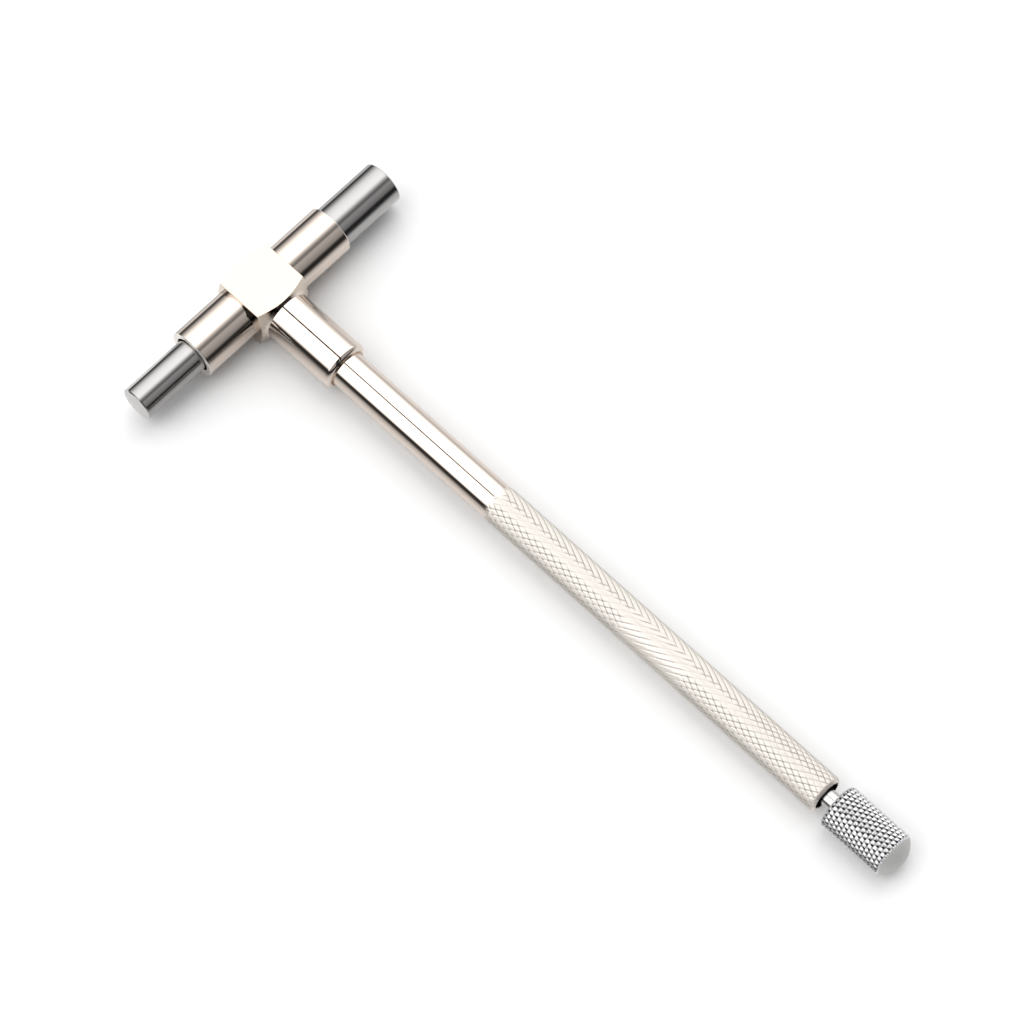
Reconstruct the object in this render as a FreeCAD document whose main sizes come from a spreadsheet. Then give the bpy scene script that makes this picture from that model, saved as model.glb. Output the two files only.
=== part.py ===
"""Telescoping bore gauge, 32 to 54 mm, drawn lying flat on its square head block.

Frame: X along the plungers (+X is the large plunger), the handle runs along -Y, +Z is up.
The origin is the centre of the head block's underside.  All sizes are millimetres.
"""
import FreeCAD, Part
import math
import os
import re
import sys

import Sketcher

SHEET = "Sizes"
SIZES = {
    # Head block, turned from square bar in one piece with the neck
    "axis_height": 4.75,
    "block_width": 10.0,
    "block_front": 5.4,
    "block_back": 4.6,
    "front_slope": 24.0,
    "back_slope": 20.0,
    "block_edge": 0.15,
    "neck_od": 8.4,
    "neck_end": 19.0,
    "neck_lip": 0.9,
    "root_rise": 0.5,
    "root_run": 0.4,
    "mouth_bevel": 0.35,
    # Cross barrel and the two telescoping plungers
    "barrel_od": 8.5,
    "barrel_large_end": 15.5,
    "barrel_small_end": 15.2,
    "mouth_edge": 0.2,
    "lip_length": 0.8,
    "lip_gap": 0.3,
    "large_od": 7.4,
    "small_od": 5.8,
    "small_bore": 4.4,
    "rim_reach": 27.2,
    "stroke": 11.7,
    "large_length": 29.6,
    "small_length": 29.1,
    "end_wall": 1.7,
    "face_dome": 0.4,
    "face_edge": 0.15,
    "turned_edge": 0.12,
    # Handle tube and its two bushes
    "handle_front": 9.1,
    "handle_od": 6.2,
    "handle_end": 120.8,
    "knurl_od": 6.4,
    "knurl_start": 51.2,
    "end_bevel": 0.6,
    "tube_bore": 4.0,
    "bush_bore": 4.8,
    "bush_length": 12.0,
    "bush_recess": 1.5,
    "guide_length": 8.0,
    # Lock shoe, push rod, screw and knob
    "shoe_od": 3.4,
    "shoe_back": 8.6,
    "shoe_step": 4.85,
    "shoulder_od": 3.2,
    "nose_od": 1.6,
    "nose_reach": 1.6,
    "lock_travel": 0.5,
    "contact_gap": 0.02,
    "rod_od": 2.6,
    "rod_end": 105.6,
    "spigot_od": 2.0,
    "spigot_length": 2.4,
    "pilot_od": 1.4,
    "screw_od": 3.0,
    "shank_od": 2.9,
    "thread_end": 119.6,
    "knob_front": 122.9,
    "knob_od": 7.6,
    "knob_length": 11.6,
    "knob_edge": 0.35,
    "knob_dome_inset": 0.2,
    "knob_dome": 1.75,
    "knob_hole": 2.5,
    "knob_hole_depth": 8.0,
    # Springs
    "spring_wire": 0.4,
    "spring_od": 3.8,
    "spring_pitch": 1.1,
    # Fits, each on the radius
    "run_gap": 0.03,
    "slot_gap": 0.05,
    "fixed_gap": 0.01,
}

FULL_TURN = 360.0
ORIGIN_POINT = (-1, 1)
HORIZONTAL_AXIS = -1
VERTICAL_AXIS = -2
START, END, CENTRE = 1, 2, 3
SCRATCH_CELL = "D1"
NEGLIGIBLE = 1e-7

doc = FreeCAD.newDocument("bore_gauge")
sheet = doc.addObject("Spreadsheet::Sheet", SHEET)
for row, (alias, size) in enumerate(SIZES.items(), start=1):
    sheet.set("A%d" % row, alias)
    sheet.set("B%d" % row, str(size))
    sheet.setAlias("B%d" % row, alias)
doc.recompute()


def bound(expression):
    """The expression with every alias written as a reference to the sheet."""
    def refer(word):
        return SHEET + "." + word.group() if word.group() in SIZES else word.group()
    return re.sub("[a-z_]+", refer, expression)


def number(expression):
    """Value of a size expression, worked out by the sheet in a scratch cell."""
    sheet.set(SCRATCH_CELL, "=" + expression)
    sheet.recompute()
    value = float(sheet.get(SCRATCH_CELL))
    sheet.clear(SCRATCH_CELL)
    return value


def new_body(label, x="0", y="0", turned=0.0):
    """A body whose own axis cross sits at (x, y) on the plunger plane, turned about Z."""
    body = doc.addObject("PartDesign::Body", label)
    body.Label = label
    body.Placement = FreeCAD.Placement(
        FreeCAD.Vector(0, 0, 0), FreeCAD.Rotation(FreeCAD.Vector(0, 0, 1), turned))
    for axis, expression in (("x", x), ("y", y), ("z", "axis_height")):
        body.setExpression(".Placement.Base." + axis, bound(expression))
    return body


def new_sketch(body, name, role):
    """An empty sketch on one of the body's own origin planes."""
    plane = next(item for item in body.Origin.OriginFeatures if item.Role == role)
    sketch = body.newObject("Sketcher::SketchObject", body.Label + "_" + name)
    sketch.AttachmentSupport = [(plane, "")]
    sketch.MapMode = "FlatFace"
    return sketch


def pin_point(sketch, geometry, point, corner):
    """Hold a sketch point at a corner given as two size expressions."""
    for kind, axis, expression in (("DistanceX", VERTICAL_AXIS, corner[0]),
                                   ("DistanceY", HORIZONTAL_AXIS, corner[1])):
        value = number(expression)
        if abs(value) < NEGLIGIBLE:
            sketch.addConstraint(Sketcher.Constraint("PointOnObject", geometry, point, axis))
            continue
        index = sketch.addConstraint(
            Sketcher.Constraint(kind, *ORIGIN_POINT, geometry, point, value))
        sketch.setExpression("Constraints[%d]" % index, bound(expression))


def dome_arc(start, end, horizontal):
    """Arc from a rim point to a point on the turning axis, centred on that axis."""
    along, across = (0, 1) if horizontal else (1, 0)
    height = end[along] - start[along]
    rim = start[across]
    centre_along = end[along] - (rim ** 2 + height ** 2) / (2 * height)
    radius = abs(end[along] - centre_along)
    middle_across = rim / 2
    middle_along = (radius ** 2 - middle_across ** 2) ** 0.5
    middle = [0.0, 0.0]
    middle[along] = centre_along + middle_along * (1 if height > 0 else -1)
    middle[across] = middle_across
    points = [FreeCAD.Vector(*pair, 0) for pair in (start, middle, end)]
    return Part.Arc(*points)


def outline(body, name, role, corners, dome=None, horizontal=False):
    """Closed outline through the corners; the side after corner number `dome` is domed."""
    sketch = new_sketch(body, name, role)
    places = [(number(x), number(y)) for x, y in corners]
    ends = []
    for index, place in enumerate(places):
        after = places[(index + 1) % len(places)]
        if index == dome:
            side = sketch.addGeometry(dome_arc(place, after, horizontal))
            first = sketch.getPoint(side, START)
            flipped = first.distanceToPoint(FreeCAD.Vector(*place, 0)) > NEGLIGIBLE
            ends.append((side, END, START) if flipped else (side, START, END))
            axis = HORIZONTAL_AXIS if horizontal else VERTICAL_AXIS
            sketch.addConstraint(Sketcher.Constraint("PointOnObject", side, CENTRE, axis))
        else:
            points = [FreeCAD.Vector(*pair, 0) for pair in (place, after)]
            ends.append((sketch.addGeometry(Part.LineSegment(*points)), START, END))
    for index, (side, first, last) in enumerate(ends):
        after, after_first, after_last = ends[(index + 1) % len(ends)]
        sketch.addConstraint(Sketcher.Constraint("Coincident", side, last, after, after_first))
        pin_point(sketch, side, first, corners[index])
    return sketch


def circle(body, name, role, radius, centre=("0", "0")):
    """A circle whose centre and radius are size expressions."""
    sketch = new_sketch(body, name, role)
    place = FreeCAD.Vector(number(centre[0]), number(centre[1]), 0)
    ring = sketch.addGeometry(Part.Circle(place, FreeCAD.Vector(0, 0, 1), number(radius)))
    pin_point(sketch, ring, CENTRE, centre)
    index = sketch.addConstraint(Sketcher.Constraint("Radius", ring, number(radius)))
    sketch.setExpression("Constraints[%d]" % index, bound(radius))
    return sketch


def turn(body, kind, sketch, horizontal=False):
    """Revolution or Groove of a sketch through a full turn about one sketch axis."""
    feature = body.newObject("PartDesign::" + kind, sketch.Name + "_" + kind.lower())
    feature.Profile = (sketch, [""])
    feature.ReferenceAxis = (sketch, ["H_Axis" if horizontal else "V_Axis"])
    feature.Angle = FULL_TURN
    sketch.Visibility = False
    doc.recompute()
    return feature


def drill(body, sketch, depth, wall_point=None):
    """Pocket through the wall that holds the given frame point, or both ways if none is given."""
    feature = body.newObject("PartDesign::Pocket", sketch.Name + "_pocket")
    feature.Profile = (sketch, [""])
    feature.setExpression("Length", bound(depth))
    sketch.Visibility = False
    if wall_point is None:
        before = body.Shape.Volume
        feature.SideType = "Symmetric"
        doc.recompute()
        if body.Shape.Volume < before - NEGLIGIBLE:
            return feature
    else:
        for reverse in (False, True):
            feature.Reversed = reverse
            doc.recompute()
            if not body.Shape.isInside(wall_point, NEGLIGIBLE, True):
                return feature
    raise RuntimeError(body.Label + ": the pocket removed nothing")


def handle_side(x, outer, inner):
    """Frame point at x in the middle of a tube's wall on its handle side."""
    middle = (number(outer) + number(inner)) / 2
    return FreeCAD.Vector(x, -middle, SIZES["axis_height"])


def edge_names(shape, accept):
    """Names of the edges of a shape that the given test accepts."""
    return ["Edge%d" % count for count, edge in enumerate(shape.Edges, start=1) if accept(edge)]


def round_edges(body, name, radius, accept):
    """Fillet the accepted edges of the body's present shape."""
    base = body.Tip
    names = edge_names(base.Shape, accept)
    if not names:
        raise RuntimeError(body.Label + ": no edge found to round")
    feature = body.newObject("PartDesign::Fillet", body.Label + "_" + name)
    feature.Base = (base, names)
    feature.setExpression("Radius", bound(radius))
    doc.recompute()
    return feature


def slot(body, name, near, far, width):
    """Straight slot with round ends through the wall on the -Y side, between two centres in X."""
    sketch = new_sketch(body, name, "XZ_Plane")
    low, high, radius = number(near), number(far), number(width) / 2
    up = FreeCAD.Vector(0, 0, 1)
    quarter = math.pi / 2
    left = sketch.addGeometry(Part.ArcOfCircle(
        Part.Circle(FreeCAD.Vector(low, 0, 0), up, radius), quarter, 3 * quarter))
    right = sketch.addGeometry(Part.ArcOfCircle(
        Part.Circle(FreeCAD.Vector(high, 0, 0), up, radius), -quarter, quarter))
    top = sketch.addGeometry(Part.LineSegment(
        FreeCAD.Vector(low, radius, 0), FreeCAD.Vector(high, radius, 0)))
    bottom = sketch.addGeometry(Part.LineSegment(
        FreeCAD.Vector(low, -radius, 0), FreeCAD.Vector(high, -radius, 0)))
    for arc, arc_end, line, line_end in ((left, START, top, START), (left, END, bottom, START),
                                         (right, END, top, END), (right, START, bottom, END)):
        sketch.addConstraint(Sketcher.Constraint("Tangent", arc, arc_end, line, line_end))
    pin_point(sketch, left, CENTRE, (near, "0"))
    pin_point(sketch, right, CENTRE, (far, "0"))
    index = sketch.addConstraint(Sketcher.Constraint("Radius", left, radius))
    sketch.setExpression("Constraints[%d]" % index, bound(width + " / 2"))
    return sketch


def head_block():
    """Square block with both ends turned to a cone, and the round neck for the handle."""
    body = new_body("head_block")
    half = "block_width / 2"
    square = outline(body, "square", "XY_Plane", [
        ("-" + half, "-block_front"), (half, "-block_front"),
        (half, "block_back"), ("-" + half, "block_back")])
    pad = body.newObject("PartDesign::Pad", "block_pad")
    pad.Profile = (square, [""])
    pad.SideType = "Symmetric"
    pad.setExpression("Length", bound("2 * axis_height"))
    square.Visibility = False
    doc.recompute()
    along_handle = FreeCAD.Vector(0, 1, 0)
    round_edges(body, "long_edges", "block_edge",
                lambda edge: abs(edge.tangentAt(edge.FirstParameter).dot(along_handle)) > 0.99)
    reach = "block_width * 3 / 4"
    run = "(block_width * 3 / 4 - axis_height)"
    for name, end, sign, slope in (("front_cone", "-block_front", "+", "front_slope"),
                                   ("back_cone", "block_back", "-", "back_slope")):
        foot = "%s %s %s * tan(%s * 1 deg)" % (end, sign, run, slope)
        turn(body, "Groove", outline(body, name, "XY_Plane", [
            ("axis_height", end), (reach, end), (reach, foot)]))
    turn(body, "Revolution", outline(body, "neck", "XY_Plane", [
        ("0", "-neck_end"), ("neck_od / 2", "-neck_end"),
        ("neck_od / 2", "-block_front - root_run"), ("neck_od / 2 + root_rise", "-block_front"),
        ("neck_od / 2 + root_rise", "-block_front / 2"), ("0", "-block_front / 2")]))
    lip_place = -SIZES["neck_end"]
    round_edges(body, "lip", "neck_lip",
                lambda edge: abs(edge.BoundBox.YMin - lip_place) < NEGLIGIBLE
                and abs(edge.BoundBox.YMax - lip_place) < NEGLIGIBLE)
    socket = "handle_od / 2 + fixed_gap"
    guide = "shoe_od / 2 + run_gap"
    floor = "-handle_front + fixed_gap * 5"
    turn(body, "Groove", outline(body, "bores", "XY_Plane", [
        ("0", "-neck_end"), (socket + " + mouth_bevel", "-neck_end"),
        (socket, "-neck_end + mouth_bevel"), (socket, floor), (guide, floor),
        (guide, "0"), ("0", "0")]))
    cross = circle(body, "cross_hole", "YZ_Plane", "barrel_od / 2 + fixed_gap")
    drill(body, cross, "block_width * 2")
    return body


def head_barrel():
    """Cross tube that guides the plungers, with a port for the lock shoe on the handle side.

    A lip narrows the mouth round the small plunger; the large plunger stops short of it.
    """
    body = new_body("head_barrel")
    bore = "large_od / 2 + run_gap"
    lip = "small_od / 2 + lip_gap"
    step = "-barrel_small_end + lip_length"
    outer = "barrel_od / 2"
    turn(body, "Revolution", outline(body, "wall", "XY_Plane", [
        ("-barrel_small_end", lip), ("-barrel_small_end", outer),
        ("barrel_large_end", outer), ("barrel_large_end", bore),
        (step, bore), (step, lip)],
        horizontal=True), horizontal=True)
    ends = (-SIZES["barrel_small_end"], SIZES["barrel_large_end"])
    round_edges(body, "mouths", "mouth_edge",
                lambda edge: min(abs(edge.BoundBox.XMin - end) + abs(edge.BoundBox.XMax - end)
                                 for end in ends) < NEGLIGIBLE)
    drill(body, circle(body, "port", "XZ_Plane", "shoulder_od / 2 + slot_gap"), "barrel_od",
          handle_side(0, outer, bore))
    return body


def plunger(label, side, diameter, bore, length, slot_width):
    """Closed tube with a domed measuring face and a keyway slot; side is +1 for +X, -1 for -X."""
    inner_end = "(rim_reach - %s)" % length
    reach = inner_end if side > 0 else "-" + inner_end
    body = new_body(label, x=reach, turned=0.0 if side > 0 else FULL_TURN / 2)
    outer = diameter + " / 2"
    turn(body, "Revolution", outline(body, "wall", "XY_Plane", [
        ("0", bore), ("0", outer + " - turned_edge"), ("turned_edge", outer),
        (length + " - face_edge", outer), (length, outer + " - face_edge"),
        (length + " + face_dome", "0"), (length + " - end_wall", "0"),
        (length + " - end_wall", bore)],
        dome=4, horizontal=True), horizontal=True)
    nose_place = "-" + inner_end
    keyway = slot(body, "keyway", nose_place, nose_place + " + stroke", slot_width)
    drill(body, keyway, "large_od", handle_side(0, outer, bore))
    return body


def large_plunger():
    """Outer plunger; its bore guides the small plunger and its slot passes the shoe's shoulder."""
    return plunger("large_plunger", 1, "large_od", "small_od / 2 + run_gap", "large_length",
                   "(shoulder_od + 2 * slot_gap)")


def small_plunger():
    """Inner plunger; its narrow slot passes only the shoe's nose."""
    return plunger("small_plunger", -1, "small_od", "small_bore / 2", "small_length",
                   "(nose_od + 2 * slot_gap)")


def spring(label, side):
    """Compression spring from the shoe's nose to the plunger's end wall, drawn at full reach."""
    body = new_body(label, x="0", turned=0.0 if side > 0 else FULL_TURN / 2)
    near = "nose_od / 2 + spring_wire / 2 + slot_gap"
    far = "rim_reach - end_wall - spring_wire / 2 - slot_gap"
    wire = circle(body, "wire", "XY_Plane", "spring_wire / 2",
                  (near, "(spring_od - spring_wire) / 2"))
    coil = body.newObject("PartDesign::AdditiveHelix", label + "_coil")
    coil.Profile = (wire, [""])
    coil.ReferenceAxis = (wire, ["H_Axis"])
    coil.Mode = "pitch-height-angle"
    coil.setExpression("Pitch", bound("spring_pitch"))
    coil.setExpression("Height", bound("(%s) - (%s)" % (far, near)))
    coil.Angle = 0.0
    wire.Visibility = False
    doc.recompute()
    return body


def handle_tube():
    """Handle: smooth toward the head, knurled grip toward the knob, bored through."""
    body = new_body("handle_tube", y="-handle_end")
    full = "handle_end - handle_front"
    grip = "handle_end - knurl_start"
    lead = "(knurl_od - handle_od)"
    turn(body, "Revolution", outline(body, "wall", "XY_Plane", [
        ("bush_bore / 2", "0"), ("knurl_od / 2 - end_bevel", "0"),
        ("knurl_od / 2", "end_bevel"), ("knurl_od / 2", grip + " - " + lead),
        ("handle_od / 2", grip), ("handle_od / 2", full + " - turned_edge"),
        ("handle_od / 2 - turned_edge", full), ("tube_bore / 2", full),
        ("tube_bore / 2", "bush_length"), ("bush_bore / 2", "bush_length")]))
    return body


def bush(label, y, outer, inner, length):
    """Plain turned bush along Y from y, bevelled inside at both mouths."""
    body = new_body(label, y=y)
    turn(body, "Revolution", outline(body, "wall", "XY_Plane", [
        (inner + " + turned_edge", "0"), (outer, "0"), (outer, length),
        (inner + " + turned_edge", length), (inner, length + " - turned_edge"),
        (inner, "turned_edge")]))
    return body


def thread_bush():
    """Threaded bush in the handle's end, its thread drawn as a plain running bore."""
    return bush("thread_bush", "-handle_end + bush_recess", "bush_bore / 2 - fixed_gap",
                "screw_od / 2 + run_gap", "(bush_length - 2 * bush_recess)")


def rod_guide_bush():
    """Bush that centres the push rod in the head end of the handle."""
    return bush("rod_guide_bush", "-handle_front - guide_length - slot_gap",
                "tube_bore / 2 - fixed_gap", "rod_od / 2 + run_gap", "guide_length")


def lock_shoe():
    """Turned shoe: its shoulder clamps the small plunger, its nose keys both plungers."""
    body = new_body("lock_shoe")
    shoulder = "-(small_od / 2 + lock_travel + contact_gap)"
    bevel = "turned_edge"
    socket = "spigot_od / 2 + fixed_gap"
    socket_floor = "-shoe_back + spigot_length + slot_gap"
    turn(body, "Revolution", outline(body, "wall", "XY_Plane", [
        (socket, "-shoe_back"), ("shoe_od / 2 - " + bevel, "-shoe_back"),
        ("shoe_od / 2", "-shoe_back + " + bevel), ("shoe_od / 2", "-shoe_step"),
        ("shoulder_od / 2", "-shoe_step"), ("shoulder_od / 2", shoulder),
        ("nose_od / 2", shoulder), ("nose_od / 2", "nose_reach - " + bevel),
        ("nose_od / 2 - " + bevel, "nose_reach"), ("0", "nose_reach"),
        ("0", socket_floor), (socket, socket_floor)]))
    return body


def push_rod():
    """Long rod from the screw to the shoe, with a spigot at the shoe and a pilot at the screw."""
    body = new_body("push_rod", y="-rod_end")
    front = "rod_end - shoe_back - contact_gap"
    turn(body, "Revolution", outline(body, "wall", "XY_Plane", [
        ("0", "-spigot_length"), ("pilot_od / 2", "-spigot_length"), ("pilot_od / 2", "0"),
        ("rod_od / 2", "0"), ("rod_od / 2", front), ("spigot_od / 2", front),
        ("spigot_od / 2", front + " + spigot_length"), ("0", front + " + spigot_length")]))
    return body


def lock_screw():
    """Screw that pushes the rod, its thread drawn as a plain cylinder, with the visible shank."""
    body = new_body("lock_screw", y="-knob_front")
    tip = "knob_front - rod_end - contact_gap"
    pilot = "pilot_od / 2 + run_gap"
    pilot_floor = tip + " - spigot_length - slot_gap"
    tail = "-knob_hole_depth + slot_gap"
    thread = "knob_front - thread_end"
    turn(body, "Revolution", outline(body, "wall", "XY_Plane", [
        ("0", tail), ("knob_hole / 2", tail), ("knob_hole / 2", "0"), ("shank_od / 2", "0"),
        ("shank_od / 2", thread), ("screw_od / 2", thread),
        ("screw_od / 2", tip + " - turned_edge"), ("screw_od / 2 - turned_edge", tip),
        (pilot, tip), (pilot, pilot_floor), ("0", pilot_floor)]))
    return body


def lock_knob():
    """Knurled knob with a smooth domed end, fixed on the screw's tail."""
    body = new_body("lock_knob", y="-knob_front - contact_gap / 2")
    hole = "knob_hole / 2 + fixed_gap"
    rim = "knob_od / 2"
    turn(body, "Revolution", outline(body, "wall", "XY_Plane", [
        (hole, "0"), (rim + " - knob_edge", "0"), (rim, "-knob_edge"),
        (rim, "-knob_length + knob_dome_inset"), (rim + " - knob_dome_inset", "-knob_length"),
        ("0", "-knob_length - knob_dome"), ("0", "-knob_hole_depth"),
        (hole, "-knob_hole_depth")], dome=4))
    return body


def check_and_export(bodies):
    """Stop on any failed object or bad shape, then write one STEP file per piece."""
    doc.recompute()
    bad = [item.Label for item in doc.Objects if {"Invalid", "Error"} & set(item.State)]
    loose = [item.Label for item in doc.Objects
             if item.TypeId == "Sketcher::SketchObject" and item.solve() != 0]
    if bad or loose:
        sys.exit("failed objects: %s, unsolved sketches: %s" % (bad, loose))
    os.makedirs("parts", exist_ok=True)
    for body in bodies:
        shape = body.Shape
        if shape.isNull() or not shape.isValid() or len(shape.Solids) != 1:
            sys.exit(body.Label + ": not one valid solid")
        shape.exportStep(os.path.join("parts", body.Label + ".step"))
        box = shape.BoundBox
        print("%-15s x %.2f..%.2f y %.2f..%.2f z %.2f..%.2f volume %.1f" % (
            body.Label, box.XMin, box.XMax, box.YMin, box.YMax, box.ZMin, box.ZMax,
            shape.Volume))


check_and_export([
    head_block(), head_barrel(), large_plunger(), small_plunger(),
    spring("large_spring", 1), spring("small_spring", -1),
    handle_tube(), thread_bush(), rod_guide_bush(),
    lock_shoe(), push_rod(), lock_screw(), lock_knob()])
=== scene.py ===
import math

import bpy
import numpy as np
from mathutils import Matrix, Vector


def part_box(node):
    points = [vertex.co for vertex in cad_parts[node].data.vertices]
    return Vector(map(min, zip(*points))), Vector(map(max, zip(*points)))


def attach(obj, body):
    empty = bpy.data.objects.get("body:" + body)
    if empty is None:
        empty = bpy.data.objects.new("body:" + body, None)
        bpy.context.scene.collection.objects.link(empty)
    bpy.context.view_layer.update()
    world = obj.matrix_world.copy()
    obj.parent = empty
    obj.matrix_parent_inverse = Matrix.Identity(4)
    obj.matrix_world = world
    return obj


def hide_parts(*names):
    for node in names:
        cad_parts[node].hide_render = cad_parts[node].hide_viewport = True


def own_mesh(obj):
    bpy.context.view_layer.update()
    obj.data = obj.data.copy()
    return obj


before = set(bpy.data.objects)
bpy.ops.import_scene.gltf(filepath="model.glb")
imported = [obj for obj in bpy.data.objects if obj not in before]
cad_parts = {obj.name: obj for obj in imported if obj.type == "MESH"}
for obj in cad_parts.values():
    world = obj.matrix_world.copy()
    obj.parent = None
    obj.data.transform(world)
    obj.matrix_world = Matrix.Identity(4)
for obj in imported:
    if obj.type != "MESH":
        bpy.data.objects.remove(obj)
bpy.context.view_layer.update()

X, Y, Z = 0, 1, 2
MM = 0.001
NEGLIGIBLE = 1e-9

tube_low, tube_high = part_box("handle_tube")
axis_height = (tube_low.z + tube_high.z) / 2

# Knurl patterns: axial pitch, starts each way, groove depth, half width of a groove in pitches
HANDLE_KNURL = {"pitch": 1.785 * MM, "starts": 20, "depth": 0.08 * MM, "half": 0.2}
KNOB_KNURL = {"pitch": 1.53 * MM, "starts": 27, "depth": 0.22 * MM, "half": 0.4}
STEPS_PER_CELL = 10
GRIP_START = -51.2 * MM

# Distances along the grip over which it fades to one family of grooves, back to two, and on to
# two of even depth all round
ONE_FAMILY, TWO_FAMILIES, ALL_ROUND = (79 * MM, 81 * MM), (91 * MM, 94 * MM), (100 * MM, 108 * MM)

# Groove depths at which points are painted black as shade: where it starts, where it is full, and
# the value that marks a face painted black as shade
SHADE_BLACK_FROM, SHADE_BLACK_FULL, SHADE_BLACK_FACE = 1.1, 1.6, 2.5

SHANK_END = -122.9 * MM
THREAD_END = -119.6 * MM
THREAD_PITCH = 0.5 * MM
THREAD_DEPTH = 0.26 * MM

SPRING_WIRE = 0.4 * MM


# Meshes ---------------------------------------------------------------------------------------

def facing_out(points, faces):
    """The faces of a closed mesh, all turned so that its normals point out."""
    corners = np.array([(f[0], f[i], f[i + 1]) for f in faces for i in range(1, len(f) - 1)])
    first, second, third = (points[corners[:, k]] for k in range(3))
    volume = np.einsum("ij,ij->", first, np.cross(second, third))
    return [f[::-1] for f in faces] if volume < 0 else faces


def mesh_object(name, points, faces, crease_angle=30.0):
    """Object from arrays of points and faces, smooth except over edges sharper than the angle."""
    if len(faces) > 1:
        faces = facing_out(points, faces)
    mesh = bpy.data.meshes.new(name)
    mesh.from_pydata(points.tolist(), [], faces)
    mesh.validate()
    mesh.polygons.foreach_set("use_smooth", [True] * len(mesh.polygons))
    mesh.set_sharp_from_angle(angle=math.radians(crease_angle))
    mesh.update()
    obj = bpy.data.objects.new(name, mesh)
    bpy.context.scene.collection.objects.link(obj)
    return obj


def point_values(obj, name, values):
    """Stores one number per vertex for the material to read."""
    layer = obj.data.attributes.new(name, "FLOAT", "POINT")
    layer.data.foreach_set("value", np.asarray(values, np.float32).ravel())


def lathe(name, y, r, columns, closed, split_by=None, crease_angle=30.0):
    """Surface turned about the handle axis: y has one value per row, r one per row and column.

    A row whose radius is zero closes the mesh at a single point. closed joins the last row to
    the first. split_by(row, column) says which diagonal parts each quad; without it the quads
    stay whole.
    """
    rows = len(y)
    angle = np.arange(columns) * (2 * math.pi / columns)
    points, index = [], []
    for i in range(rows):
        if r[i].max() < NEGLIGIBLE:
            index.append([len(points)] * columns)
            points.append((0.0, y[i], axis_height))
            continue
        index.append(list(range(len(points), len(points) + columns)))
        points.extend(zip(r[i] * np.sin(angle), [y[i]] * columns,
                          axis_height + r[i] * np.cos(angle)))
    faces = []
    for i in range(rows if closed else rows - 1):
        a, b = index[i], index[(i + 1) % rows]
        for j in range(columns):
            k = (j + 1) % columns
            quad = (a[j], a[k], b[k], b[j])
            if quad[0] == quad[1]:
                faces.append((quad[0], quad[2], quad[3]))
            elif quad[2] == quad[3]:
                faces.append((quad[0], quad[1], quad[2]))
            elif split_by is None:
                faces.append(quad)
            elif split_by(i, j):
                faces += [(quad[0], quad[1], quad[2]), (quad[0], quad[2], quad[3])]
            else:
                faces += [(quad[0], quad[1], quad[3]), (quad[1], quad[2], quad[3])]
    return mesh_object(name, np.array(points), faces, crease_angle)


def soft_step(value, low, high):
    """0 below low, 1 above high, with a smooth rise between them."""
    t = np.clip((value - low) / (high - low), 0, 1)
    return t * t * (3 - 2 * t)


def knurl_rows(start, end, knurl):
    """Row positions for a knurled length, running toward -Y, on the pattern's own grid."""
    step = knurl["pitch"] / STEPS_PER_CELL
    count = int(math.floor((start - end) / step))
    return [start - step * k for k in range(1, count)]


def groove_share(y, angle, knurl):
    """How far into a groove each point lies, 0 on a crest and 1 in a valley, for both families."""
    turn = knurl["starts"] * angle / (2 * math.pi)
    run = y / knurl["pitch"]
    families = []
    for phase in (turn + run, turn - run):
        off = np.abs(phase - np.round(phase))
        families.append(np.clip(1 - off / knurl["half"], 0, 1))
    return families


def knurled(name, profile, knurl, dirt_and_shade, uneven=None, closed=True):
    """Turned piece whose rows marked in the profile carry the crossed grooves.

    The profile is a list of (y, radius, share of the knurl's depth). uneven(y, angle) gives the
    relative depth of the two families of grooves, and the darkening function, given (y, angle,
    first, second), how dark each point is, for dirt in the grooves and for painted shade.
    """
    columns = knurl["starts"] * STEPS_PER_CELL
    angle = np.arange(columns) * (2 * math.pi / columns)
    y, base, share = (np.array(values) for values in zip(*profile))
    origin = y[np.argmax(share > 0)]
    first, second = groove_share((y - origin)[:, None], angle[None, :], knurl)
    if uneven is not None:
        gain_first, gain_second = uneven(y[:, None], angle[None, :])
        first, second = first * gain_first, second * gain_second
    radius = base[:, None] - knurl["depth"] * np.maximum(first, second) * share[:, None]
    darkened_rows = np.maximum(share, y <= y.min())
    valley = dirt_and_shade(y[:, None], angle[None, :], first, second) * darkened_rows[:, None]
    grip = np.broadcast_to(share[:, None], valley.shape)

    def along_first(i, j):
        """Whether a quad is parted along the first family, the deeper one at that place."""
        k = (j + 1) % columns
        n = (i + 1) % len(profile)
        near_first = first[i, j] + first[n, k] + first[i, k] + first[n, j]
        near_second = second[i, j] + second[n, k] + second[i, k] + second[n, j]
        return near_first > near_second

    obj = lathe(name, y, radius, columns, closed, along_first)
    for key, values in (("valley", valley), ("grip", grip)):
        rows = [row if reach > NEGLIGIBLE else row[:1] for row, reach in zip(values, base)]
        point_values(obj, key, np.concatenate(rows))
    return obj


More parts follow.
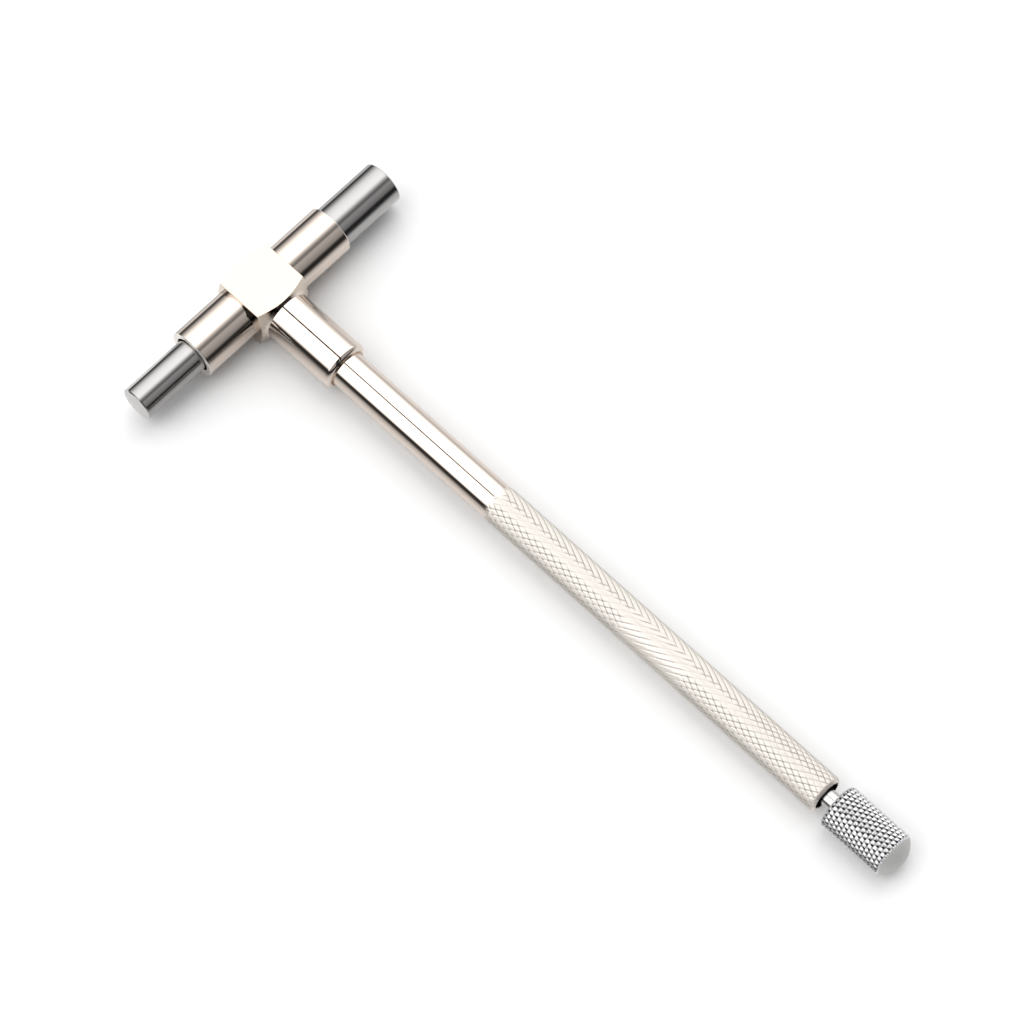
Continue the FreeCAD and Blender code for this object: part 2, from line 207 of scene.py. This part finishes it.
def spring_mesh(name, side, node):
    """Compression spring with closed ends, swept along the plunger axis; side is +1 or -1."""
    low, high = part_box(node)
    near, far = sorted((abs(low.x), abs(high.x)))
    wire = SPRING_WIRE / 2
    coil = (high.z - low.z) / 2 - wire
    middle = (high.z + low.z) / 2
    live, dead, per_turn, around = 19, 1.25, 28, 8
    turns = live + 2 * dead
    steps = int(turns * per_turn)
    dead_run = dead * 2.1 * wire
    live_run = far - near - 2 * wire - 2 * dead_run
    points = []
    for s in range(steps + 1):
        t = turns * s / steps
        if t < dead:
            x = near + wire + dead_run * t / dead
        elif t > turns - dead:
            x = far - wire - dead_run * (turns - t) / dead
        else:
            x = near + wire + dead_run + live_run * (t - dead) / live
        a = 2 * math.pi * t
        out = Vector((0, math.cos(a), math.sin(a)))
        for q in range(around):
            b = 2 * math.pi * q / around
            p = Vector((side * x, 0, middle)) + out * (coil + wire * math.cos(b))
            points.append((p.x + wire * math.sin(b), p.y, p.z))
    faces = []
    for s in range(steps):
        for q in range(around):
            a, b = s * around, (s + 1) * around
            k = (q + 1) % around
            faces.append((b + q, b + k, a + k, a + q))
    faces.append(tuple(range(around)))
    faces.append(tuple(range(steps * around + around - 1, steps * around - 1, -1)))
    return mesh_object(name, np.array(points), faces, crease_angle=50.0)


# Node trees -----------------------------------------------------------------------------------

class Tree:
    """A material's or world's nodes, added one at a time."""

    def __init__(self, tree):
        self.tree = tree
        tree.nodes.clear()

    def add(self, kind, inputs=None, **settings):
        node = self.tree.nodes.new(kind)
        for key, value in settings.items():
            setattr(node, key, value)
        for key, value in (inputs or {}).items():
            self.feed(node.inputs[key], value)
        return node

    def feed(self, socket, value):
        if isinstance(value, bpy.types.NodeSocket):
            self.tree.links.new(value, socket)
        elif value is not None:
            socket.default_value = value

    def math(self, operation, a, b=None, c=None):
        node = self.add("ShaderNodeMath", operation=operation)
        for socket, value in zip(node.inputs, (a, b, c)):
            self.feed(socket, value)
        return node.outputs[0]

    def parts(self, vector):
        """The three components of a vector."""
        return self.add("ShaderNodeSeparateXYZ", {"Vector": vector}).outputs

    def grey(self, level):
        return self.add("ShaderNodeCombineXYZ", {"X": level, "Y": level, "Z": level}).outputs[0]

    def attribute(self, name):
        return self.add("ShaderNodeAttribute", attribute_name=name).outputs["Fac"]

    def step(self, value, low, high, out_low=0.0, out_high=1.0):
        """Smooth step from out_low to out_high as the value goes from low to high."""
        node = self.add("ShaderNodeMapRange", interpolation_type="SMOOTHSTEP")
        for socket, given in zip(node.inputs, (value, low, high, out_low, out_high)):
            self.feed(socket, given)
        return node.outputs["Result"]

    def blend(self, share, a, b):
        """a where share is 0, b where it is 1."""
        return self.math("MULTIPLY_ADD", share, self.math("SUBTRACT", b, a), a)

    def ramp(self, value, stops, scale=1.0, base=0.0):
        """Piecewise linear curve through (position, value) stops, given in rising order.

        Values run from base to base + scale.
        """
        first, last = stops[0][0], stops[-1][0]
        share = self.add("ShaderNodeMapRange", {
            "Value": value, "From Min": first, "From Max": last}).outputs["Result"]
        node = self.add("ShaderNodeValToRGB", {"Fac": share})
        points = node.color_ramp.elements
        while len(points) < len(stops):
            points.new(1.0)
        for point, (position, level) in zip(points, stops):
            point.position = (position - first) / (last - first)
            point.color = ((level - base) / scale,) * 3 + (1,)
        grey = self.add("ShaderNodeSeparateColor", {"Color": node.outputs["Color"]}).outputs[0]
        return self.math("MULTIPLY_ADD", grey, scale, base)

    def mix(self, share, a, b):
        """Colour a where share is 0, b where it is 1."""
        node = self.add("ShaderNodeMix", data_type="RGBA")
        self.feed(node.inputs["Factor"], share)
        colours = [s for s in node.inputs if s.type == "RGBA"]
        for socket, value in zip(colours, (a, b)):
            self.feed(socket, value if isinstance(value, bpy.types.NodeSocket) else (*value, 1))
        return [s for s in node.outputs if s.type == "RGBA"][0]

    def noise(self, vector, scale, detail=2.0, rough=0.5, kind="3D"):
        node = self.add("ShaderNodeTexNoise", noise_dimensions=kind)
        self.feed(node.inputs["W" if kind == "1D" else "Vector"], vector)
        for key, value in (("Scale", scale), ("Detail", detail), ("Roughness", rough)):
            self.feed(node.inputs[key], value)
        return node.outputs[0]

    def scaled(self, vector, factors):
        node = self.add("ShaderNodeVectorMath", operation="MULTIPLY")
        self.feed(node.inputs[0], vector)
        self.feed(node.inputs[1], factors)
        return node.outputs[0]


def new_material(name):
    """An empty material and its tree."""
    material = bpy.data.materials.new(name)
    material.use_nodes = True
    return material, Tree(material.node_tree)


# Metal ----------------------------------------------------------------------------------------

# Noise scales of the metal's marks, in cycles per metre
SMUDGES, BLOTCHES, SPECKS, GRAIN, RINGS = 90.0, 420.0, 2600.0, 7000.0, 9000.0
BLOTCH_SHARE = 0.25
VALLEY_ROUGHER = 0.25
DIRT = (0.30, 0.27, 0.24)
GREY_DIRT = (0.2, 0.2, 0.2)
BRASS_DIRT = (0.30, 0.18, 0.07)
# Black painted as shade on the points marked deeper than a groove
SHADE_BLACK = (0.02, 0.018, 0.016)


def tool_marks(tree, place, axis):
    """Fine turning or grinding rings: they follow the distance along the axis plus the radius."""
    parts = tree.parts(place)
    others = [parts[k] for k in range(3) if k != axis]
    others[1] = tree.math("SUBTRACT", others[1], axis_height)
    squares = [tree.math("MULTIPLY", p, p) for p in others]
    radius = tree.math("SQRT", tree.math("ADD", *squares))
    return tree.math("ADD", parts[axis], radius)


def bare_metal(tree, place, colour, rough, dirt):
    """Colour, roughness and metalness with handling smudges, blotches and specks of dirt."""
    shade = tree.step(tree.noise(place, SMUDGES, detail=4.0, rough=0.6), 0.35, 0.75)
    darker = tuple(c * 0.86 for c in colour)
    tone = tree.mix(tree.math("MULTIPLY", shade, 0.10), colour, darker)
    specks = tree.step(tree.noise(place, SPECKS), 0.70, 0.80)
    tone = tree.mix(tree.math("MULTIPLY", specks, 0.12), tone, dirt)
    blotches = tree.noise(place, BLOTCHES, detail=3.0, rough=0.65)
    roughness = tree.math("MULTIPLY_ADD", blotches, BLOTCH_SHARE * rough,
                          rough * (1 - BLOTCH_SHARE / 2))
    return {"tone": tone, "roughness": roughness, "metallic": 1.0}


def blend_in(tree, surface, share, tone, rough, metallic):
    """Mixes another finish into a surface."""
    surface["tone"] = tree.mix(share, surface["tone"], tone)
    surface["roughness"] = tree.blend(share, surface["roughness"], rough)
    surface["metallic"] = tree.blend(share, surface["metallic"], metallic)


def darken_valleys(tree, surface, valley):
    """Darkens and roughens the grooves, for dirt and painted shade, and paints black as shade the
    points marked deeper than a groove.
    """
    deep = tree.attribute("valley")
    dark = tree.step(deep, *valley["from"])
    share = tree.math("MULTIPLY", dark, valley["share"])
    tone = tree.mix(share, surface["tone"], valley["colour"])
    surface["tone"] = tree.mix(tree.step(deep, SHADE_BLACK_FROM, SHADE_BLACK_FULL), tone, SHADE_BLACK)
    surface["roughness"] = tree.math("MULTIPLY_ADD", dark, VALLEY_ROUGHER, surface["roughness"])


def end_share(tree, axis, matt):
    """How far a face looks along the axis: 1 on an end face, 0 on the turned side."""
    facing = tree.add("ShaderNodeNewGeometry").outputs["Normal"]
    local = tree.add("ShaderNodeVectorTransform", {"Vector": facing}, vector_type="NORMAL",
                     convert_from="WORLD", convert_to="OBJECT").outputs[0]
    along = tree.parts(local)[axis]
    if matt["one_side"]:
        toward = tree.math("MULTIPLY", along, -1.0)
    else:
        toward = tree.math("ABSOLUTE", along)
    return tree.step(toward, *matt["facing"])


def bumped(tree, heights):
    """Normal with one bump after another, from (height, depth) pairs."""
    normal = None
    for height, depth in heights:
        normal = tree.add("ShaderNodeBump", {
            "Height": height, "Distance": depth, "Strength": 1.0,
            "Normal": normal}).outputs["Normal"]
    return normal


def metal(name, colour, rough, marks=None, mark_depth=0.0, grain=0.0, dirt=DIRT, valley=None,
          grip=None, matt=None, painted_shade=None):
    """Metal finish: tool marks along the axis given as marks, and fine grain.

    valley describes the grooves of a knurl, darkened for dirt and painted shade, and grip its
    crests, with light and shade painted on them by the place across. matt describes the less glossy
    finish of faces that look along the tool marks' axis, and the last argument the darker tint
    painted as shade on the stretch behind a place on the handle axis.
    """
    material, tree = new_material(name)
    place = tree.add("ShaderNodeTexCoord").outputs["Object"]
    surface = bare_metal(tree, place, colour, rough, dirt)
    heights = []
    if marks is not None:
        fine = tree.noise(tool_marks(tree, place, marks), RINGS, detail=3.0, rough=0.7, kind="1D")
        heights.append((fine, mark_depth))
        darker = tuple(c * 0.8 for c in colour)
        surface["tone"] = tree.mix(tree.math("MULTIPLY", fine, 0.05), surface["tone"], darker)
    if grain:
        heights.append((tree.noise(place, GRAIN, detail=3.0, rough=0.6), grain))
    if grip is not None:
        # Painted light and shade: the crests are made lighter and darker by the place across the
        # knurl
        knurl = tree.attribute("grip")
        across = tree.math("DIVIDE", tree.parts(place)[X], grip["radius"])
        painted_light = tree.grey(tree.ramp(across, grip["light_levels"]))
        blend_in(tree, surface, knurl, tree.scaled(painted_light, grip["colour"]), grip["rough"],
                 grip["metallic"])
    if painted_shade is not None:
        # Painted shade: a darker tint on the stretch behind a place on the handle axis
        behind = tree.step(tree.parts(place)[Y], *painted_shade["behind"])
        shaded_tone = tree.scaled(surface["tone"], painted_shade["tint"])
        surface["tone"] = tree.mix(behind, surface["tone"], shaded_tone)
    if valley is not None:
        darken_valleys(tree, surface, valley)
    if matt is not None:
        end = end_share(tree, marks, matt)
        if grip is not None:
            end = tree.math("MULTIPLY", end, tree.math("SUBTRACT", 1.0, knurl))
        blend_in(tree, surface, end, matt["colour"], matt["rough"], matt["metallic"])
    shader = tree.add("ShaderNodeBsdfPrincipled", {
        "Base Color": surface["tone"], "Metallic": surface["metallic"],
        "Roughness": surface["roughness"], "Normal": bumped(tree, heights)})
    tree.add("ShaderNodeOutputMaterial", {"Surface": shader.outputs["BSDF"]})
    return material


def paint(obj, material):
    """Gives every face of a made piece one material."""
    obj.data.materials.clear()
    obj.data.materials.append(material)


def repaint(node, material):
    """Puts a finish into every material slot of a CAD node."""
    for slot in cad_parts[node].material_slots:
        slot.material = material


def half_width(node):
    """Outer radius of a piece that is round about the handle axis."""
    low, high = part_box(node)
    return (high.x - low.x) / 2


# Finishes -------------------------------------------------------------------------------------

NICKEL = (0.80, 0.70, 0.625)
GROUND = (0.462, 0.450, 0.446)
BRIGHT_STEEL = (0.93, 0.93, 0.94)
TURNED = (0.62, 0.61, 0.60)
BRASS = (0.80, 0.58, 0.27)
WIRE = (0.50, 0.51, 0.54)

POLISHED_RIM = {"facing": (0.30, 0.70), "one_side": False, "colour": (0.90, 0.86, 0.82),
                "rough": 0.30, "metallic": 0.6}
LAPPED_END = {"facing": (0.75, 0.95), "one_side": False, "colour": (0.70, 0.68, 0.67),
              "rough": 0.40, "metallic": 0.7}
BLASTED_END = {"facing": (0.40, 0.60), "one_side": True, "colour": (0.59, 0.585, 0.57),
               "rough": 0.60, "metallic": 0.3}
# Painted shade: the head block gets a darker, creamier tint on the stretch behind a place on the
# handle axis
BLOCK_PAINTED_SHADE = {"behind": (-5.7 * MM, -5.3 * MM), "tint": (0.86, 0.86, 0.825)}
# Groove colours: on the handle dirt and painted shade, on the knob a near black painted as shade in
# the pits
HANDLE_VALLEY = {"share": 0.66, "colour": (0.20, 0.165, 0.15), "from": (0.30, 0.85)}
KNOB_VALLEY = {"share": 0.97, "colour": (0.015, 0.015, 0.02), "from": (0.25, 0.75)}

# Painted light and shade on the knurls' crests: their brightness by the place across the knurl in
# radii, lighter and darker as light falls on the round grip
HANDLE_GRIP = {"rough": 0.40, "colour": (1.0, 0.94, 0.87), "metallic": 0.55,
               "radius": half_width("handle_tube"),
               "light_levels": ((-1.0, 0.60), (-0.96, 0.62), (-0.90, 0.90), (-0.80, 1.0),
                          (-0.65, 0.87), (-0.30, 0.76), (-0.10, 0.70), (0.10, 0.71),
                          (0.30, 0.70), (0.50, 0.84), (0.68, 0.92), (0.80, 0.72),
                          (0.90, 0.62), (1.0, 0.60))}
KNOB_GRIP = {"rough": 0.32, "colour": (0.98, 0.98, 0.99), "metallic": 1.0,
             "radius": half_width("lock_knob"),
             "light_levels": ((-1.0, 0.95), (-0.90, 1.0), (-0.60, 0.95), (-0.40, 0.90), (-0.10, 0.82),
                        (0.30, 0.86), (0.50, 0.95), (0.67, 1.0), (1.0, 1.0))}

nickel_barrel = metal("nickel_barrel", NICKEL, 0.05, marks=X, mark_depth=0.0012 * MM,
                      matt=POLISHED_RIM)
nickel_block = metal("nickel_block", NICKEL, 0.05, grain=0.0010 * MM, painted_shade=BLOCK_PAINTED_SHADE)
nickel_handle = metal("nickel_handle", NICKEL, 0.045, marks=Y, mark_depth=0.0008 * MM,
                      valley=HANDLE_VALLEY, grip=HANDLE_GRIP)
ground_steel = metal("ground_steel", GROUND, 0.12, marks=X, mark_depth=0.004 * MM,
                     matt=LAPPED_END, dirt=GREY_DIRT)
knob_steel = metal("knob_steel", BRIGHT_STEEL, 0.36, marks=Y, mark_depth=0.004 * MM,
                   valley=KNOB_VALLEY, grip=KNOB_GRIP, matt=BLASTED_END, dirt=GREY_DIRT)
turned_steel = metal("turned_steel", TURNED, 0.18, marks=Y, mark_depth=0.003 * MM)
bush_brass = metal("bush_brass", BRASS, 0.26, marks=Y, mark_depth=0.003 * MM, dirt=BRASS_DIRT)
spring_wire = metal("spring_wire", WIRE, 0.22, grain=0.002 * MM)

for node, finish in (("head_block", nickel_block), ("head_barrel", nickel_barrel),
                     ("large_plunger", ground_steel), ("small_plunger", ground_steel),
                     ("thread_bush", turned_steel), ("rod_guide_bush", bush_brass),
                     ("lock_shoe", turned_steel), ("push_rod", turned_steel)):
    repaint(node, finish)


# Pieces ---------------------------------------------------------------------------------------

def handle():
    """Handle tube with its knurled grip, the counterbore for the thread bush and the bore."""
    low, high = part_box("handle_tube")
    grip = half_width("handle_tube")
    smooth, edge, bevel, run_out = grip - 0.1 * MM, 0.15 * MM, 0.6 * MM, 0.2 * MM
    bore, counterbore, counter_end = 2.0 * MM, 2.4 * MM, low.y + 12.0 * MM
    fade = 1.6 * MM
    profile = [(high.y, smooth - edge, 0), (high.y - edge, smooth, 0),
               (GRIP_START + run_out, smooth, 0)]
    for y in knurl_rows(GRIP_START, low.y + bevel, HANDLE_KNURL):
        share = min(1.0, (GRIP_START - y) / fade)
        profile.append((y, smooth + (grip - smooth) * share, share))
    for turn in (0, 15, 30, 45, 60, 75, 85, 90):
        a = math.radians(turn)
        profile.append((low.y + bevel * (1 - math.sin(a)), grip - bevel * (1 - math.cos(a)),
                        1 - 0.5 * math.sin(a)))
    profile += [(low.y, counterbore, 0), (counter_end, counterbore, 0), (counter_end, bore, 0),
                (high.y, bore, 0)]

    def uneven(y, angle):
        """One family is cut deeper on the +X side, and a stretch of the -X side has only one."""
        across = np.sin(angle)
        right = soft_step(across, 0.15, 0.5)
        stretch = soft_step(-y, *ONE_FAMILY) * (1 - soft_step(-y, *TWO_FAMILIES))
        both = soft_step(-y, *ALL_ROUND)
        top = soft_step(across, -0.45, -0.25) * (1 - soft_step(across, -0.05, 0.2))
        top = top * (1 - 0.4 * both)
        first = (0.9 - 0.65 * right * (1 - both)) * (1 - 0.45 * top)
        second = (0.85 + 0.15 * right) * (1 - 0.85 * stretch * (1 - right)) * (1 - 0.6 * top)
        return first, second

    def dirt_and_shade(y, angle, first, second):
        """Grooves darkened for dirt and painted shade, mostly pits on the -X side that turn partly
        black as painted shade, and an end face painted black as shade except at the far left.
        """
        across = np.sin(angle)
        left = 1 - soft_step(across, -0.50, -0.25)
        lines = np.maximum(first, second)
        pits = np.minimum(3.2 * first * second, 1.45)
        grooves = lines + left * (np.maximum(0.72 * lines, pits) - lines)
        # Painted shade: the end face is marked black except at the far left
        end_face = SHADE_BLACK_FACE * (y <= low.y) * soft_step(across, -0.85, -0.60)
        return np.maximum(grooves * (y > low.y), end_face)

    obj = knurled("handle_tube_knurled", profile, HANDLE_KNURL, dirt_and_shade, uneven)
    paint(obj, nickel_handle)
    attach(obj, "gauge_body")
    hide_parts("handle_tube")


def knob():
    """Knurled knob with a blind hole for the screw and a smooth domed end."""
    low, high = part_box("lock_knob")
    rim = half_width("lock_knob")
    edge, inset, dome, hole, hole_depth = 0.35 * MM, 0.2 * MM, 1.75 * MM, 1.25 * MM, 8.0 * MM
    edge_share, dome_rings = 0.9, 12
    front, dome_start = high.y, low.y + dome
    body_start, body_end = front - edge, dome_start + inset
    profile = [(front - hole_depth, 0, 0), (front - hole_depth, hole, 0), (front, hole, 0),
               (front, rim - edge, 0), (body_start, rim, edge_share)]
    profile += [(y, rim, 1.0) for y in knurl_rows(body_start, body_end, KNOB_KNURL)]
    profile += [(body_end, rim, edge_share), (dome_start, rim - inset, 0)]
    chord = rim - inset
    sphere = (chord ** 2 + dome ** 2) / (2 * dome)
    reach = math.asin(chord / sphere)
    for k in range(dome_rings - 1, -1, -1):
        a = reach * k / dome_rings
        profile.append((low.y + sphere * (1 - math.cos(a)), sphere * math.sin(a), 0))

    def dirt_and_shade(y, angle, first, second):
        """Pits where grooves cross painted dark as shade, larger on the +X side, and whole grooves
        darkened at the left.
        """
        across = np.sin(angle)
        gain = 1.8 + 0.4 * soft_step(across, -0.25, 0.1)
        pits = np.clip(first * second * gain, 0, 1)
        lines = 0.6 * np.maximum(first, second) * (1 - soft_step(across, -0.96, -0.85))
        streak = soft_step(across, -0.7, -0.5) * (1 - soft_step(across, -0.3, -0.1))
        return np.maximum(pits, np.maximum(lines, 0.42 * first * streak))

    obj = knurled("lock_knob_knurled", profile, KNOB_KNURL, dirt_and_shade, closed=False)
    paint(obj, knob_steel)
    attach(obj, "screw_and_knob")
    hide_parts("lock_knob")


def screw():
    """Clamping screw: a tail in the knob, the plain shank and the helical thread."""
    low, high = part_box("lock_screw")
    crest, shank, tail = 1.5 * MM, 1.45 * MM, 1.25 * MM
    relief, tip_edge = 0.05 * MM, 0.2 * MM
    flank_gain, crest_flat = 1.2, 0.1
    columns, per_pitch = 48, 10
    angle = np.arange(columns) * (2 * math.pi / columns)
    step = THREAD_PITCH / per_pitch
    count = int((high.y - tip_edge - THREAD_END) / step)
    y = [low.y, low.y, SHANK_END, SHANK_END, THREAD_END - relief]
    radius = [np.full(columns, size) for size in (0.0, tail, tail, shank, shank)]
    for k in range(count + 1):
        row = THREAD_END + step * k
        phase = row / THREAD_PITCH + angle / (2 * math.pi)
        ridge = np.abs(2 * (phase - np.floor(phase)) - 1)
        depth = THREAD_DEPTH * np.clip(ridge * flank_gain - crest_flat, 0, 1)
        run_in = min(1.0, k / per_pitch)
        y.append(row)
        radius.append(crest - depth * run_in - relief * (1 - run_in))
    y += [high.y, high.y]
    radius += [np.full(columns, crest - THREAD_DEPTH - relief), np.zeros(columns)]
    obj = lathe("lock_screw_threaded", y, np.array(radius), columns, False, crease_angle=40.0)
    paint(obj, turned_steel)
    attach(obj, "screw_and_knob")
    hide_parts("lock_screw")


def springs():
    """Both coils, each swept along its plunger's axis."""
    for size, side in (("large", 1), ("small", -1)):
        node = size + "_spring"
        obj = spring_mesh(node + "_coil", side, node)
        paint(obj, spring_wire)
        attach(obj, "gauge_body")
        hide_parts(node)
        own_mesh(obj)


handle()
knob()
screw()
springs()


# Floor, light and camera ----------------------------------------------------------------------

# Painted reflection: floor level in mirror reflections, by the steepness of the ray, for four sides
# of the tool
GLOSS_FRONT = ((0.0, 0.02), (0.05, 0.03), (0.10, 0.06), (0.19, 0.18), (0.32, 0.44), (0.44, 0.56),
               (0.56, 0.66), (0.75, 0.68), (0.88, 0.88), (1.0, 0.95))
GLOSS_BACK = ((0.0, 0.04), (0.12, 0.07), (0.20, 0.24), (0.29, 0.66), (0.41, 1.05), (0.53, 0.86),
              (0.63, 0.66), (0.75, 0.56), (1.0, 0.52))
GLOSS_LEFT = ((0.0, 0.03), (0.12, 0.10), (0.25, 0.36), (0.38, 0.54), (0.50, 0.61), (0.60, 0.72),
              (0.70, 0.77), (0.88, 0.90), (1.0, 0.95))
GLOSS_RIGHT = ((0.0, 0.42), (0.10, 0.48), (0.20, 0.60), (0.33, 0.65), (0.57, 0.69), (0.76, 0.73),
               (1.0, 0.80))
GLOSS_SCALE = 2.0

# Gain of those levels from -X to +X, as two places and their gains: at the back, and all over
BACK_GAIN = (-17 * MM, -12 * MM, 1.25, 0.66)
FLOOR_GAIN = (-30 * MM, 30 * MM, 0.92, 1.14)

FLOOR_HALF = 2.5
FLOOR_COLOUR = (0.9, 0.9, 0.9)


def floor_sheet():
    """Plane through the head block's lower front edge and the lowest point of the knob."""
    block_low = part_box("head_block")[0]
    knob_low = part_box("lock_knob")[0]
    block_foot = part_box("head_barrel")[0].y - 0.95 * MM
    knob_foot = knob_low.y + 1.95 * MM
    slope = knob_low.z / (block_foot - knob_foot)
    corners = [(x, y, block_low.z + (block_foot - y) * slope)
               for x, y in ((-FLOOR_HALF, -FLOOR_HALF), (FLOOR_HALF, -FLOOR_HALF),
                            (FLOOR_HALF, FLOOR_HALF), (-FLOOR_HALF, FLOOR_HALF))]
    return mesh_object("floor", np.array(corners), [(0, 1, 2, 3)])


def mirrored_floor(tree):
    """Floor level painted into what polished faces reflect: it depends on the ray and the place."""
    geometry = tree.add("ShaderNodeNewGeometry").outputs
    parts = tree.parts(geometry["Incoming"])
    right = tree.parts(geometry["Position"])[X]
    steep = tree.math("ABSOLUTE", parts[Z])
    behind = tree.math("MULTIPLY", tree.ramp(steep, GLOSS_BACK, scale=GLOSS_SCALE),
                       tree.step(right, *BACK_GAIN))
    level = tree.ramp(steep, GLOSS_FRONT, scale=GLOSS_SCALE)
    for axis, sign, low, high, side in (
            (X, 1.0, 0.1, 0.5, tree.ramp(steep, GLOSS_LEFT, scale=GLOSS_SCALE)),
            (X, -1.0, 0.35, 0.8, tree.ramp(steep, GLOSS_RIGHT, scale=GLOSS_SCALE)),
            (Y, -1.0, 0.36, 0.55, behind)):
        toward = tree.step(tree.math("MULTIPLY", parts[axis], sign), low, high)
        level = tree.blend(toward, level, side)
    return tree.math("MULTIPLY", level, tree.step(right, *FLOOR_GAIN))


def floor():
    """Pale sheet; what the metal reflects of it is a painted reflection that falls off by the ray
    and the place.
    """
    obj = floor_sheet()
    material, tree = new_material("floor")
    glossy = tree.add("ShaderNodeLightPath").outputs["Is Glossy Ray"]
    colour = tree.mix(glossy, FLOOR_COLOUR, tree.grey(mirrored_floor(tree)))
    shader = tree.add("ShaderNodeBsdfDiffuse", {"Color": colour}).outputs[0]
    tree.add("ShaderNodeOutputMaterial", {"Surface": shader})
    obj.data.materials.append(material)


# Sky level by the angle from the zenith in degrees, toward the handle and away from it
NEAR_SIDE = ((0.0, 1.45), (6, 1.30), (11, 0.92), (16, 0.54), (20, 0.36), (24, 0.24), (31, 0.22),
             (36, 0.48), (46, 0.46), (53, 0.41), (61, 0.38), (69, 0.42), (77, 0.12), (85, 0.01))
TENT = ((-90, 1.05), (-75, 1.15), (-62, 1.30), (-50, 1.55), (-30, 1.85), (-12, 1.95), (0, 1.85),
        (8, 1.20))
NEAR_SCALE, TENT_SCALE = 2.0, 3.0
NEAR_FROM, NEAR_TO = 2.0, 8.0

# The seam's angle from the zenith toward -X, and how far off it the dark ends and full light begins
SEAM, SEAM_DARK, SEAM_CLEAR = 3.0, 2.4, 4.0

# Level at the horizon and the heights between which the sky takes over, by the direction's X part
HORIZON = ((-0.95, 0.03), (0.0, 0.08), (0.30, 0.15), (0.90, 0.60))
GAP_TOP = ((-0.95, 0.36), (0.0, 0.55), (0.30, 0.62), (0.90, 0.50))
GAP_BOTTOM = ((-0.95, 0.16), (0.0, -0.02), (0.30, -0.06), (0.90, -0.05))
GAP_BASE = -0.5
NEAR_HORIZON = 0.15

CAMERA_SIDE = 0.08
BACKDROP = 1.2
MATT_FILL = 1.45


def from_zenith(tree, part, up):
    """Angle in degrees between the zenith and the direction, seen along one level axis."""
    turned = tree.math("ARCTAN2", tree.math("MULTIPLY", part, -1.0), up)
    return tree.math("MULTIPLY", turned, 180 / math.pi)


def sky_level(tree, dx, dy, dz):
    """White tent with a dim near side, one thin dark seam on top and a dark gap at the horizon."""
    nearward, leftward = from_zenith(tree, dy, dz), from_zenith(tree, dx, dz)
    near = tree.ramp(nearward, NEAR_SIDE, scale=NEAR_SCALE)
    tent = tree.ramp(nearward, TENT, scale=TENT_SCALE)
    sky = tree.blend(tree.step(nearward, NEAR_FROM, NEAR_TO), tent, near)
    off_seam = tree.math("ABSOLUTE", tree.math("SUBTRACT", leftward, SEAM))
    sky = tree.math("MULTIPLY", sky, tree.step(off_seam, SEAM_DARK, SEAM_CLEAR))
    above = tree.step(dz, tree.ramp(dx, GAP_BOTTOM, base=GAP_BASE), tree.ramp(dx, GAP_TOP))
    dark_side = tree.step(tree.math("MULTIPLY", dy, -1.0), 0.3, 0.7, 1.0, NEAR_HORIZON)
    horizon = tree.math("MULTIPLY", tree.ramp(dx, HORIZON), dark_side)
    return tree.blend(above, horizon, sky)


def camera_side(tree, dx, dy):
    """1 on the side of the studio where the camera stands, 0 elsewhere."""
    left = tree.step(tree.math("MULTIPLY", dx, -1.0), 0.08, 0.24)
    near = tree.step(tree.math("MULTIPLY", dy, -1.0), 0.08, 0.24)
    within = tree.step(dx, -0.52, -0.42)
    return tree.math("MULTIPLY", tree.math("MULTIPLY", left, near), within)


def studio():
    """Light from every direction, with a plain backdrop for the camera."""
    world = bpy.data.worlds.new("studio")
    bpy.context.scene.world = world
    world.use_nodes = True
    tree = Tree(world.node_tree)
    dx, dy, dz = tree.parts(tree.add("ShaderNodeTexCoord").outputs["Generated"])
    rays = tree.add("ShaderNodeLightPath").outputs
    shaded = tree.math("MULTIPLY", camera_side(tree, dx, dy), rays["Is Glossy Ray"])
    total = tree.math("MULTIPLY", sky_level(tree, dx, dy, dz),
                      tree.blend(shaded, 1.0, CAMERA_SIDE))
    fill = tree.blend(rays["Is Diffuse Ray"], 1.0, MATT_FILL)
    total = tree.blend(rays["Is Camera Ray"], tree.math("MULTIPLY", total, fill), BACKDROP)
    shader = tree.add("ShaderNodeBackground", {"Color": (1, 1, 1, 1), "Strength": total})
    tree.add("ShaderNodeOutputWorld", {"Surface": shader.outputs[0]})


def camera():
    """Long lens high above the small plunger's side of the handle."""
    data = bpy.data.cameras.new("camera")
    data.lens = 180.0
    data.sensor_width = 36.0
    data.clip_start, data.clip_end = 0.01, 20.0
    obj = bpy.data.objects.new("camera", data)
    bpy.context.scene.collection.objects.link(obj)
    azimuth, elevation = math.radians(-45.74), math.radians(66.13)
    distance = 787.6 * MM
    target = Vector((0.44, -54.44, 4.75)) * MM
    back = Vector((math.sin(azimuth) * math.cos(elevation),
                   -math.cos(azimuth) * math.cos(elevation), math.sin(elevation)))
    side = Vector((math.cos(azimuth), math.sin(azimuth), 0))
    turn = Matrix((side, back.cross(side), back)).transposed()
    obj.matrix_world = Matrix.Translation(target + back * distance) @ turn.to_4x4()
    bpy.context.scene.camera = obj


floor()
studio()
camera()
bpy.context.scene.view_settings.view_transform = "Standard"
